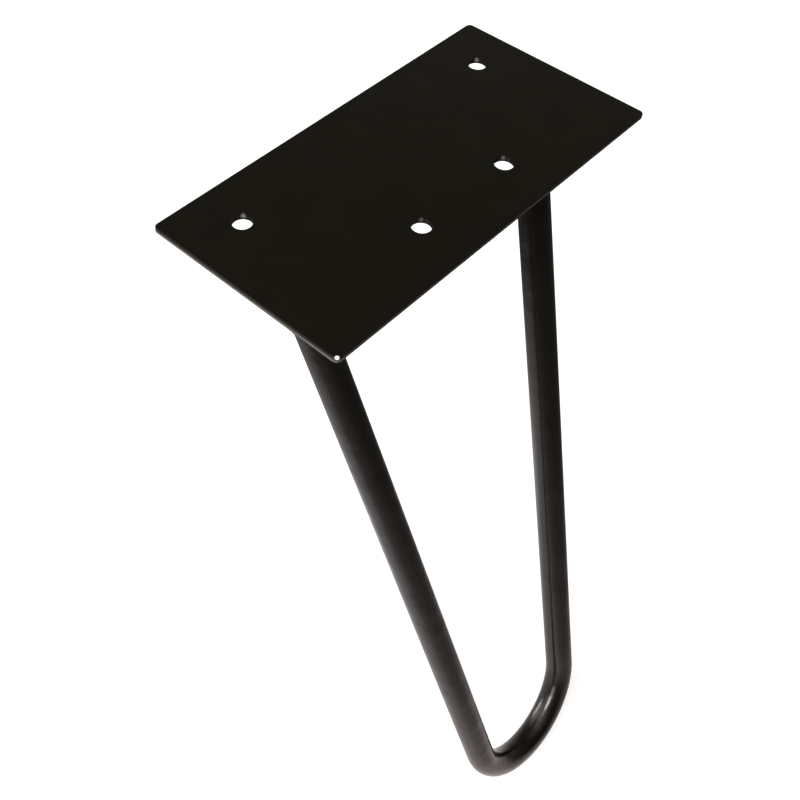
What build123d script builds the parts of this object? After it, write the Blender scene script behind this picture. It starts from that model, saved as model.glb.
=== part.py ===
from build123d import *
import os
from math import asin, atan2, cos, degrees, hypot, radians, sin, tan

# Diagonal furniture leg: one round bar bent into a hairpin and welded under a screw plate.
# Millimetres. The origin is the centre of the plate's top face, which meets the furniture.
# +X runs along the plate, +Z is up, and the hairpin leans out towards -Y.

# Mounting plate
plate_length = 160.0
plate_width = 80.0
plate_thickness = 2.0
plate_corner_radius = 2.0
plate_edge_round = 0.3

# Screw holes: two near the far corners, two near the middle of the near edge.
# Both pairs share one middle, set out from the plate's free end.
hole_diameter = 7.0
hole_inset = 19.0
far_hole_spacing = 120.0
near_hole_spacing = 43.0

# Bent bar
bar_diameter = 12.0
bend_inner_radius = 24.0
leg_height = 280.0
lean_angle = 18.0
arm_spread = 110.0
corner_arm_end_inset = 8.0
arm_edge_inset = 19.0

# Weld beads: the crown power is 1 for a full round face and 2 for a flat one
weld_leg = 3.0
weld_toe_lip = 0.3
weld_crown_power = 1.5
weld_face_steps = 4
weld_edge_clearance = 1.4

# Derived places
bar_radius = bar_diameter / 2
bend_radius = bend_inner_radius + bar_radius
underside_z = -plate_thickness
far_row_y = plate_width / 2 - hole_inset
near_row_y = hole_inset - plate_width / 2
holes_middle_x = (plate_length - far_hole_spacing) / 2 - hole_inset
arm_row_y = arm_edge_inset - plate_width / 2
corner_arm_x = corner_arm_end_inset - plate_length / 2
middle_arm_x = corner_arm_x + arm_spread
hairpin_x = (corner_arm_x + middle_arm_x) / 2

# The bend's centre lies on the hairpin's axis, so that the bar's lowest point is at the leg's height
lean = radians(lean_angle)
bend_centre_z = bar_radius + bend_radius * cos(lean) - leg_height
bend_centre_y = arm_row_y - (underside_z - bend_centre_z) * tan(lean)
bend_centre = Vector(hairpin_x, bend_centre_y, bend_centre_z)

# Each arm is tangent to the bend, so the two close in on each other by the taper angle
arm_rise = (underside_z - bend_centre_z) / cos(lean)
arm_half_spread = arm_spread / 2
taper = atan2(arm_half_spread, arm_rise) - asin(bend_radius / hypot(arm_half_spread, arm_rise))


def hairpin_plane():
    """The leaning plane that holds the bar's centreline, with its origin at the bend's centre."""
    return Plane(origin=bend_centre, x_dir=(1, 0, 0), z_dir=(0, -cos(lean), sin(lean)))


def arm_line(side, overrun):
    """One arm's centreline, from past the plate's underside down to the bend; side is -1 or +1."""
    tangent = Vector(side * bend_radius * cos(taper), -bend_radius * sin(taper))
    top = Vector(side * arm_half_spread, arm_rise)
    upward = (top - tangent).normalized()
    return Line(top + upward * overrun, tangent)


def mounting_plate():
    """Flat plate with rounded corners, softened edges and four plain screw holes."""
    blank = extrude(RectangleRounded(plate_length, plate_width, plate_corner_radius), -plate_thickness)
    rims = blank.faces().filter_by(Axis.Z).edges()
    blank = fillet(rims, plate_edge_round)
    hole = Cylinder(hole_diameter / 2, 3 * plate_thickness)
    pairs = ((far_hole_spacing, far_row_y), (near_hole_spacing, near_row_y))
    for spacing, row_y in pairs:
        for side in (-1, 1):
            blank -= Pos(holes_middle_x + side * spacing / 2, row_y) * hole
    return blank


def hairpin_bar():
    """One round bar: two straight arms tangent to one bend, both ends cut flush to the plate."""
    overrun = bar_diameter
    corner_arm = arm_line(-1, overrun)
    middle_arm = arm_line(1, overrun)
    bend = ThreePointArc(corner_arm @ 1, (0, -bend_radius), middle_arm @ 1)
    centreline = hairpin_plane() * (corner_arm + bend + middle_arm)
    corner_top = hairpin_plane().from_local_coords(corner_arm @ 0)
    corner_foot = hairpin_plane().from_local_coords(corner_arm @ 1)
    section = Plane(origin=corner_top, z_dir=corner_foot - corner_top) * Circle(bar_radius)
    bar = sweep(section, path=centreline)
    return split(bar, bisect_by=Plane.XY.offset(underside_z), keep=Keep.BOTTOM)


def weld_bead(side, bar):
    """Fillet weld round one arm's oval end, with a crowned face, kept inside the plate's edge."""
    arm = arm_line(side, 0)
    top = hairpin_plane().from_local_coords(arm @ 0)
    foot = hairpin_plane().from_local_coords(arm @ 1)
    downward = (foot - top).normalized()
    heading = degrees(atan2(downward.Y, downward.X))

    def oval(drop, growth):
        """Level section of the arm, at a drop below the plate's underside, grown outwards."""
        centre = top + downward * (drop / -downward.Z)
        shape = Ellipse(bar_radius / -downward.Z + growth, bar_radius + growth)
        return Plane(centre) * (Rot(0, 0, heading) * shape)

    levels = []
    for step in range(weld_face_steps + 1):
        turn = radians(90 * step / weld_face_steps)
        drop = weld_leg * sin(turn) ** weld_crown_power
        growth = weld_toe_lip + (weld_leg - weld_toe_lip) * max(cos(turn), 0) ** weld_crown_power
        levels.append(oval(drop, growth))
    skirt = loft(levels, ruled=True)
    plate_end = Plane.YZ.offset(weld_edge_clearance - plate_length / 2)
    skirt = split(skirt, bisect_by=plate_end, keep=Keep.TOP)
    return skirt - bar


bar = hairpin_bar()
nodes = {
    "mounting_plate": mounting_plate(),
    "hairpin_bar": bar,
    "corner_weld": weld_bead(-1, bar),
    "middle_weld": weld_bead(1, bar),
}

os.makedirs("parts", exist_ok=True)
for name, shape in nodes.items():
    export_step(shape, f"parts/{name}.step")
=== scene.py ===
from math import cos, pi, radians, sin

import bpy
from mathutils import Matrix, Vector, noise


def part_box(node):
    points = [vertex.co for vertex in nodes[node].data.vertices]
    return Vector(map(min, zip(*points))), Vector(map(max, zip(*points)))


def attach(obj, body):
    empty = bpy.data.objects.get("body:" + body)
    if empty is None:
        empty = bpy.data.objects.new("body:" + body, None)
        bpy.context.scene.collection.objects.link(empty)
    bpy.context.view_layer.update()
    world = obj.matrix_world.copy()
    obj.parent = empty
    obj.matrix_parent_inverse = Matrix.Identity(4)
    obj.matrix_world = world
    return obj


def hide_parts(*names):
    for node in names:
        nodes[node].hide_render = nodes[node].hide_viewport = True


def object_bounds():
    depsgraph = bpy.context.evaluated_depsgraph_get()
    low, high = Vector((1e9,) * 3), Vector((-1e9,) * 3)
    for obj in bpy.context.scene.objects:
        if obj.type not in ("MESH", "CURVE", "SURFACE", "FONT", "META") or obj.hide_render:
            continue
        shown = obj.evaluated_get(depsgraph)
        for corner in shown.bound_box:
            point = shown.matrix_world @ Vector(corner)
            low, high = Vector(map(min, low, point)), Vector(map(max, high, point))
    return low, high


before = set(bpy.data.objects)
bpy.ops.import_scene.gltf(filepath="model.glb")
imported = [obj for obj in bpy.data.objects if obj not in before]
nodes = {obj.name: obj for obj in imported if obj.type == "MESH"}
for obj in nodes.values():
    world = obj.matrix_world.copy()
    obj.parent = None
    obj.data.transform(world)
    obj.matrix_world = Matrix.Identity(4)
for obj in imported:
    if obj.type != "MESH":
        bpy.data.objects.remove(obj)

# Diagonal steel furniture leg, in metres: a screw plate on a leaning hairpin bar, all in a glossy black coat.
# The frame gives the plate and the bar. This script gives them their coat, lays the rippled weld beads,
# and sets up a white floor, soft light and the photographer's camera.

cad_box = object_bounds()
MM = 0.001
WHITE = (1, 1, 1, 1)

# Camera: its place, aim and lens were fitted to the plate's corners, its holes and the bar's outlines
FRAME_PX = 800
SENSOR_MM = 36.0
FOCAL_PX = 1097.69
VIEW_CENTRE_PX = (345.5, 330.5)
NEAR_CLIP = 10 * MM
CAMERA_PLACE = Vector((-0.228064, -0.174197, 0.238420))
CAMERA_HEADING = 48.423
CAMERA_DROP = 48.428
CAMERA_ROLL = 1.813

# Lamps: degrees from +Y towards +X, degrees above the horizon, power and apparent width in degrees
KEY_LAMP = {"heading": -86, "height": 35, "power": 2.9, "width": 30}
SIDE_LAMP = {"heading": -21, "height": 5, "power": 1.5, "width": 31}

# Room: a dim grey with soft glows between the lamps, overhead and low on the far right
ROOM_COLOUR = (0.02, 0.02, 0.02)
GLOWS = (
    {"heading": -60, "height": 45, "power": 5, "colour": (1.75, 1.55, 1.42)},
    {"heading": -140, "height": 75, "power": 8, "colour": (0.95, 0.82, 0.75)},
    {"heading": -98, "height": 12, "power": 40, "colour": (4.8, 4.5, 4.3)},
    {"heading": -78, "height": 54, "power": 40, "colour": (2.8, 2.6, 2.4)},
    {"heading": -21, "height": 26, "power": 22, "colour": (2.5, 2.3, 2.2)},
    {"heading": 45, "height": 0, "power": 10, "colour": (0.36, 0.34, 0.30)},
    {"heading": 100, "height": 0, "power": 6, "colour": (0.34, 0.29, 0.25)},
    {"heading": 20, "height": -25, "power": 5, "colour": (0.60, 0.60, 0.60)},
)

# Floor: what the gloss mirrors is pools of light round the foot, which fade into a darker room
FLOOR_SIZE = 8.0
FLOOR_ALBEDO = 0.7
FLOOR_SHADOW_SHARE = 0.36
FLOOR_OWN_LIGHT = 0.76
ROOM_FLOOR = (0.065, 0.06, 0.06)
POOLS = (
    {"centre": (-0.10, 0.0), "reach": (0.245, 0.164), "edge": 4, "colour": (0.52, 0.52, 0.51)},
    {"centre": (-0.17, -0.15), "reach": (0.27, 0.25), "edge": 2, "colour": (0.33, 0.26, 0.25)},
    {"centre": (-0.04, -0.12), "reach": (0.05, 0.03), "edge": 2, "colour": (0.46, 0.36, 0.33)},
    {"centre": (-0.03, 0.03), "reach": (0.10, 0.04), "edge": 2, "colour": (0.44, 0.43, 0.42)},
    {"centre": (2.6, 0.0), "reach": (1.6, 3.0), "edge": 4, "colour": (0.38, 0.30, 0.26)},
    {"centre": (-0.21, -0.06), "reach": (0.08, 0.09), "edge": 2, "colour": (0.12, 0.12, 0.28)},
)

# Coat: a warm near-black, mottled, with a fine grain in its gloss and an orange-peel skin (scales a metre)
COAT_DARK = (0.0036, 0.0036, 0.0022, 1)
COAT_LIGHT = (0.0072, 0.0064, 0.0040, 1)
COAT_IOR = 1.5
MOTTLE = {"Scale": 60.0, "Detail": 4.0}
GRAIN = {"Scale": 350.0, "Detail": 3.0}
PEEL = {"Scale": 700.0, "Detail": 1.0}
ROUGHNESS_SPREAD = 0.03
PLATE_COAT = {"roughness": 0.19, "peel": 0.005 * MM, "waves": 0.0, "gloss": 0.35, "wear_sheen_and_glints": True}
BAR_COAT = {"roughness": 0.20, "peel": 0.008 * MM, "waves": 80.0}
BEAD_COAT = {"roughness": 0.26, "peel": 0.012 * MM, "waves": 0.0}

# Painted glints on the plate, in millimetres: a painted highlight at the near corner and a painted glint on
# each hole's far wall
PAINTED_GLINT_COLOUR = (0.95, 0.95, 0.93, 1)
PAINTED_GLINT_SPOTS = (
    {"place": (-79.06, -39.14, 0.0), "radius": 0.76, "core": 0.61, "share": 1.0},
    {"place": (63.60, 23.34, -0.6), "radius": 1.0, "core": 0.1, "share": 0.18},
    {"place": (-56.40, 23.34, -0.6), "radius": 1.05, "core": 0.3, "share": 0.18},
    {"place": (25.10, -18.66, -0.6), "radius": 1.0, "core": 0.1, "share": 0.11},
    {"place": (-17.90, -18.66, -0.6), "radius": 0.95, "core": 0.1, "share": 0.09},
)

# Wear and painted sheen: the coat is rubbed thin along the plate's rims, most at its scuffed end; this lighter
# metal band also stands in for the sheen of light on those rims
PLATE_CORNER = 2.0 * MM
WORN_AND_SHEEN_COLOUR = (0.36, 0.35, 0.33, 1)
WORN_AND_SHEEN_SHARE = 0.14
SCUFFED_AND_SHEEN_SHARE = 0.31
SCUFF_AND_SHEEN_RUN = 7.0 * MM
SCUFF_AND_SHEEN_FULL = 0.3 * MM
PATCHES = (0.7, 1.3)
RIM_DEPTH = 0.2 * MM
RIM_FULL = 0.5 * RIM_DEPTH
RIM_PEAK = -1.35 * MM
RIM_HALF_HEIGHT = 0.9 * MM
FAR_UP = 1.0

# Weld beads, as the bar's arms stand
BAR_RADIUS = 6.0 * MM
LEAN = radians(18.0)
TAPER = radians(5.546)
BEAD_LEG = 3.0 * MM
BEAD_TOE = 0.03 * MM
BEAD_SINK = BAR_RADIUS / 10
BEAD_CROWN_POWER = 1.5
BEAD_SWAY = 0.05
SWAY_SCALE = 3.0
RIPPLES = 40
RIPPLE_DEPTH = 0.13
RIPPLE_CURVE = 0.9
RIPPLE_POWER = 0.6
STEPS_A_RIPPLE = 8
STEPS_AROUND = RIPPLES * STEPS_A_RIPPLE
FACE_STEPS = 14


def direction(heading, height):
    """Unit vector at a heading from +Y towards +X and a height above the horizon, in degrees."""
    a, e = radians(heading), radians(height)
    return Vector((sin(a) * cos(e), cos(a) * cos(e), sin(e)))


def add(tree, kind, inputs=None, **settings):
    """A new node with its settings; each input takes a value, or a link where it is given a socket."""
    made = tree.nodes.new(kind)
    for name, value in settings.items():
        setattr(made, name, value)
    for name, value in (inputs or {}).items():
        if isinstance(value, bpy.types.NodeSocket):
            tree.links.new(value, made.inputs[name])
        else:
            made.inputs[name].default_value = value
    return made


def maths(tree, operation, first, second=0.0):
    """Output of a Math node on two numbers or sockets."""
    return add(tree, "ShaderNodeMath", {0: first, 1: second}, operation=operation).outputs[0]


def vectors(tree, operation, first, second):
    """Vector output of a Vector Math node on two vectors or sockets."""
    return add(tree, "ShaderNodeVectorMath", {0: first, 1: second}, operation=operation).outputs[0]


def measure(tree, operation, first, second=(0, 0, 0)):
    """Number output of a Vector Math node, such as a length, a distance or a dot product."""
    return add(tree, "ShaderNodeVectorMath", {0: first, 1: second}, operation=operation).outputs["Value"]


def scaled(tree, colour, share):
    """A colour times a number."""
    return add(tree, "ShaderNodeVectorMath", {0: colour, "Scale": share}, operation="SCALE").outputs[0]


def ramp(tree, value, start, end, low=0.0, high=1.0, interpolation="LINEAR"):
    """A value's run from start to end, as a run from low to high."""
    inputs = {"Value": value, "From Min": start, "From Max": end, "To Min": low, "To Max": high}
    return add(tree, "ShaderNodeMapRange", inputs, interpolation_type=interpolation).outputs[0]


def blend(tree, share, first, second):
    """The first colour, with a share of the second mixed in."""
    return add(tree, "ShaderNodeMix", {0: share, 6: first, 7: second}, data_type="RGBA").outputs[2]


def texture(tree, place, scale):
    """Noise at a place, from 0 to 1."""
    return add(tree, "ShaderNodeTexNoise", {"Vector": place, **scale}).outputs["Fac"]


def new_tree(owner):
    """The owner's node tree, emptied."""
    owner.use_nodes = True
    owner.node_tree.nodes.clear()
    return owner.node_tree


def make_camera():
    """The photographer's view, looking down on the plate from beyond its near corner."""
    ahead = direction(CAMERA_HEADING, -CAMERA_DROP)
    level = ahead.cross(Vector((0, 0, 1))).normalized()
    rise = level.cross(ahead)
    roll = radians(CAMERA_ROLL)
    right = level * cos(roll) + rise * sin(roll)
    up = rise * cos(roll) - level * sin(roll)
    data = bpy.data.cameras.new("camera")
    data.sensor_width = SENSOR_MM
    data.lens = FOCAL_PX * SENSOR_MM / FRAME_PX
    data.shift_x = 0.5 - VIEW_CENTRE_PX[0] / FRAME_PX
    data.shift_y = VIEW_CENTRE_PX[1] / FRAME_PX - 0.5
    data.clip_start = NEAR_CLIP
    camera = bpy.data.objects.new("camera", data)
    bpy.context.scene.collection.objects.link(camera)
    turned = Matrix((right, up, -ahead)).transposed().to_4x4()
    camera.matrix_world = Matrix.Translation(CAMERA_PLACE) @ turned
    bpy.context.scene.camera = camera


def make_lamp(name, heading, height, power, width):
    """A soft, far lamp that lights everything evenly from one side."""
    data = bpy.data.lights.new(name, "SUN")
    data.energy = power
    data.angle = radians(width)
    lamp = bpy.data.objects.new(name, data)
    bpy.context.scene.collection.objects.link(lamp)
    lamp.rotation_mode = "QUATERNION"
    lamp.rotation_quaternion = direction(heading, height).to_track_quat("Z", "Y")


def sees_white(tree, path):
    """1 for a ray that sees the white background: straight from the camera, or through something clear."""
    return maths(tree, "MAXIMUM", path["Is Camera Ray"], path["Is Transmission Ray"])


def lobe(tree, towards, heading, height, power, colour):
    """Colour of a glow that is full at one direction and fades away from it."""
    facing = measure(tree, "DOT_PRODUCT", towards, direction(heading, height))
    return scaled(tree, colour, maths(tree, "POWER", maths(tree, "MAXIMUM", facing, 0.0), power))


def make_world():
    """White behind everything; a dim room with a few soft glows lights the object."""
    world = bpy.data.worlds.new("room")
    bpy.context.scene.world = world
    tree = new_tree(world)
    towards = add(tree, "ShaderNodeTexCoord").outputs["Generated"]
    room = ROOM_COLOUR
    for glow in GLOWS:
        room = vectors(tree, "ADD", room, lobe(tree, towards, **glow))
    seen = sees_white(tree, add(tree, "ShaderNodeLightPath").outputs)
    colour = blend(tree, seen, room, WHITE)
    background = add(tree, "ShaderNodeBackground", {"Color": colour, "Strength": 1.0})
    tree.links.new(background.outputs[0], add(tree, "ShaderNodeOutputWorld").inputs["Surface"])


def pool_of_light(tree, place, centre, reach, edge, colour):
    """Colour of one pool of light on the floor; a higher edge power gives it a flatter middle."""
    away = vectors(tree, "SUBTRACT", place, (*centre, 0))
    away = vectors(tree, "MULTIPLY", away, (1 / reach[0], 1 / reach[1], 0))
    fall = maths(tree, "POWER", measure(tree, "LENGTH", away), edge)
    return scaled(tree, colour, maths(tree, "EXPONENT", maths(tree, "MULTIPLY", fall, -1.0)))


def floor_material():
    """White to the camera with a faint shadow, matt to soft light, and pools of light in the gloss."""
    material = bpy.data.materials.new("pale_floor")
    tree = new_tree(material)
    place = add(tree, "ShaderNodeNewGeometry").outputs["Position"]
    mirrored = ROOM_FLOOR
    for pool in POOLS:
        mirrored = vectors(tree, "ADD", mirrored, pool_of_light(tree, place, **pool))

    def matt(albedo):
        return add(tree, "ShaderNodeBsdfDiffuse", {"Color": (albedo, albedo, albedo, 1)}).outputs[0]

    def glowing(colour, strength):
        return add(tree, "ShaderNodeEmission", {"Color": colour, "Strength": strength}).outputs[0]

    def mixed(share, first, second):
        return add(tree, "ShaderNodeMixShader", {0: share, 1: first, 2: second}).outputs[0]

    path = add(tree, "ShaderNodeLightPath").outputs
    own_light, shadowed = glowing(WHITE, FLOOR_OWN_LIGHT), matt(FLOOR_SHADOW_SHARE)
    white = add(tree, "ShaderNodeAddShader", {0: own_light, 1: shadowed}).outputs[0]
    unseen = mixed(path["Is Glossy Ray"], matt(FLOOR_ALBEDO), glowing(mirrored, 1.0))
    look = mixed(sees_white(tree, path), unseen, white)
    tree.links.new(look, add(tree, "ShaderNodeOutputMaterial").inputs["Surface"])
    return material


def make_floor():
    """Plain pale floor, level with the foot."""
    half = FLOOR_SIZE / 2
    level = cad_box[0].z
    mesh = bpy.data.meshes.new("floor")
    corners = [(x, y, level) for x, y in ((-half, -half), (half, -half), (half, half), (-half, half))]
    mesh.from_pydata(corners, [], [(0, 1, 2, 3)])
    mesh.materials.append(floor_material())
    floor = bpy.data.objects.new("floor", mesh)
    bpy.context.scene.collection.objects.link(floor)


def rim_mask(tree, place, height):
    """1 along the middle of the plate's upright edge, fading to 0 at its lips and on its faces."""
    inner = (cad_box[1].x - PLATE_CORNER, cad_box[1].y - PLATE_CORNER, FAR_UP)
    out = vectors(tree, "SUBTRACT", vectors(tree, "ABSOLUTE", place, (0, 0, 0)), inner)
    reach = measure(tree, "LENGTH", vectors(tree, "MAXIMUM", out, (0, 0, 0)))
    near = ramp(tree, reach, PLATE_CORNER - RIM_DEPTH, PLATE_CORNER - RIM_FULL)
    offset = maths(tree, "DIVIDE", maths(tree, "SUBTRACT", height, RIM_PEAK), RIM_HALF_HEIGHT)
    band = maths(tree, "SUBTRACT", 1.0, maths(tree, "MULTIPLY", offset, offset))
    return maths(tree, "MULTIPLY", near, maths(tree, "MAXIMUM", band, 0.0))


def worn_edge_and_sheen(tree, place, grain):
    """Share of the coat that is rubbed off, partly a painted sheen: a little on the plate's rims, more on its
    scuffed end.
    """
    parts = add(tree, "ShaderNodeSeparateXYZ", {0: place}).outputs
    rim = rim_mask(tree, place, parts["Z"])
    end = cad_box[0].x
    share = ramp(tree, parts["X"], end + SCUFF_AND_SHEEN_RUN, end + SCUFF_AND_SHEEN_FULL, WORN_AND_SHEEN_SHARE, SCUFFED_AND_SHEEN_SHARE, "SMOOTHSTEP")
    patchy = ramp(tree, grain, 0.0, 1.0, *PATCHES)
    return maths(tree, "MULTIPLY", maths(tree, "MULTIPLY", rim, share), patchy)


def painted_glint_spot(tree, location, place, radius, core, share):
    """Share of painted glint colour in one small round spot, which fades out from its core."""
    away = measure(tree, "DISTANCE", location, Vector(place) * MM)
    return ramp(tree, away, radius * MM, core * MM, 0.0, share)


def coat_material(name, roughness, peel, waves, gloss=0.5, wear_sheen_and_glints=False):
    """Glossy black coat: faint mottling, uneven gloss and an orange-peel skin, with rim wear, painted sheen and
    painted glints if asked.
    """
    material = bpy.data.materials.new(name)
    tree = new_tree(material)
    place = add(tree, "ShaderNodeTexCoord").outputs["Object"]
    mottle = texture(tree, place, MOTTLE)
    grain = texture(tree, place, GRAIN)
    colour = blend(tree, mottle, COAT_DARK, COAT_LIGHT)
    rough = ramp(tree, grain, 0.0, 1.0, roughness - ROUGHNESS_SPREAD, roughness + ROUGHNESS_SPREAD)
    metal = 0.0
    if wear_sheen_and_glints:
        # Metallic grey along the rims: partly rubbed-thin coat, partly a painted sheen
        metal = worn_edge_and_sheen(tree, place, grain)
        colour = blend(tree, metal, colour, WORN_AND_SHEEN_COLOUR)
        # Painted glints: near-white spots blended into the coat's colour
        for painted_spot in PAINTED_GLINT_SPOTS:
            colour = blend(tree, painted_glint_spot(tree, place, **painted_spot), colour, PAINTED_GLINT_COLOUR)
    skin = maths(tree, "ADD", texture(tree, place, PEEL), maths(tree, "MULTIPLY", mottle, waves))
    bump = add(tree, "ShaderNodeBump", {"Strength": 1.0, "Distance": peel, "Height": skin}).outputs[0]
    coat = add(tree, "ShaderNodeBsdfPrincipled", {
        "Base Color": colour, "Metallic": metal, "Roughness": rough, "IOR": COAT_IOR, "Normal": bump,
        "Specular IOR Level": gloss,
    })
    tree.links.new(coat.outputs[0], add(tree, "ShaderNodeOutputMaterial").inputs["Surface"])
    return material


def dress(piece, material):
    """Gives a piece one material in place of those it came with, and smooth shading."""
    piece.data.materials.clear()
    piece.data.materials.append(material)
    for face in piece.data.polygons:
        face.use_smooth = True


def bead_points(top, side, end_x):
    """Rings of points round one arm's oval end: the rippled face, from toe to crown, and a hidden back."""
    upward = Vector((side * sin(TAPER), cos(TAPER) * sin(LEAN), cos(TAPER) * cos(LEAN)))
    downward = -upward
    along = Vector((downward.x, downward.y, 0)).normalized()
    across = Vector((-along.y, along.x, 0))
    long_half = BAR_RADIUS / upward.z

    def outline(turn, drop, growth):
        """Point at a turn round the arm, at a drop below the plate, grown out from the bar."""
        centre = top + downward * (drop / upward.z)
        point = centre + along * (long_half + growth) * cos(turn) + across * (BAR_RADIUS + growth) * sin(turn)
        point.x = max(point.x, end_x)
        return point

    points = []
    for step in range(STEPS_AROUND):
        turn = 2 * pi * step / STEPS_AROUND
        sway = noise.noise(Vector((SWAY_SCALE * cos(turn), SWAY_SCALE * sin(turn), side)))
        size = BEAD_LEG * (1 - BEAD_SWAY + BEAD_SWAY * sway)
        for level in range(FACE_STEPS + 1):
            share = level / FACE_STEPS
            phase = RIPPLES * turn / (2 * pi) + RIPPLE_CURVE * (2 * share - 1) ** 2
            valley = 1 - abs(sin(pi * phase)) ** RIPPLE_POWER
            body = 1 - RIPPLE_DEPTH * valley * sin(pi * share)
            drop = size * sin(pi / 2 * share) ** BEAD_CROWN_POWER * body
            out = max(cos(pi / 2 * share), 0) ** BEAD_CROWN_POWER
            points.append(outline(turn, drop, BEAD_TOE + (size - BEAD_TOE) * out * body))
        points.append(outline(turn, size, -BEAD_SINK))
        points.append(outline(turn, 0, -BEAD_SINK))
    return points


def ring_faces(rings, length):
    """Quads of a closed loop of rings, each a closed loop of points."""
    faces = []
    for ring in range(rings):
        here, there = ring * length, (ring + 1) % rings * length
        for level in range(length):
            after = (level + 1) % length
            faces.append((here + level, there + level, there + after, here + after))
    return faces


def rippled_bead(name, node, side, material):
    """Fillet weld round one arm's oval end: a crowned bead whose ripples curve back along its run."""
    low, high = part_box(node)
    whole_low, whole_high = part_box("middle_weld")
    half_width = (whole_high.x - whole_low.x) / 2
    top = Vector((high.x - half_width, (low.y + high.y) / 2, high.z))
    points = bead_points(top, side, low.x)
    mesh = bpy.data.meshes.new(name)
    mesh.from_pydata(points, [], ring_faces(STEPS_AROUND, len(points) // STEPS_AROUND))
    mesh.validate()
    bead = bpy.data.objects.new(name, mesh)
    bpy.context.scene.collection.objects.link(bead)
    dress(bead, material)
    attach(bead, "root")
    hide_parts(node)


bpy.context.scene.view_settings.view_transform = "Standard"
make_camera()
make_lamp("key_lamp", **KEY_LAMP)
make_lamp("side_lamp", **SIDE_LAMP)
make_world()
make_floor()

dress(nodes["mounting_plate"], coat_material("plate_coat", **PLATE_COAT))
dress(nodes["hairpin_bar"], coat_material("bar_coat", **BAR_COAT))
bead_coat = coat_material("bead_coat", **BEAD_COAT)
rippled_bead("corner_weld_bead", "corner_weld", -1, bead_coat)
rippled_bead("middle_weld_bead", "middle_weld", 1, bead_coat)
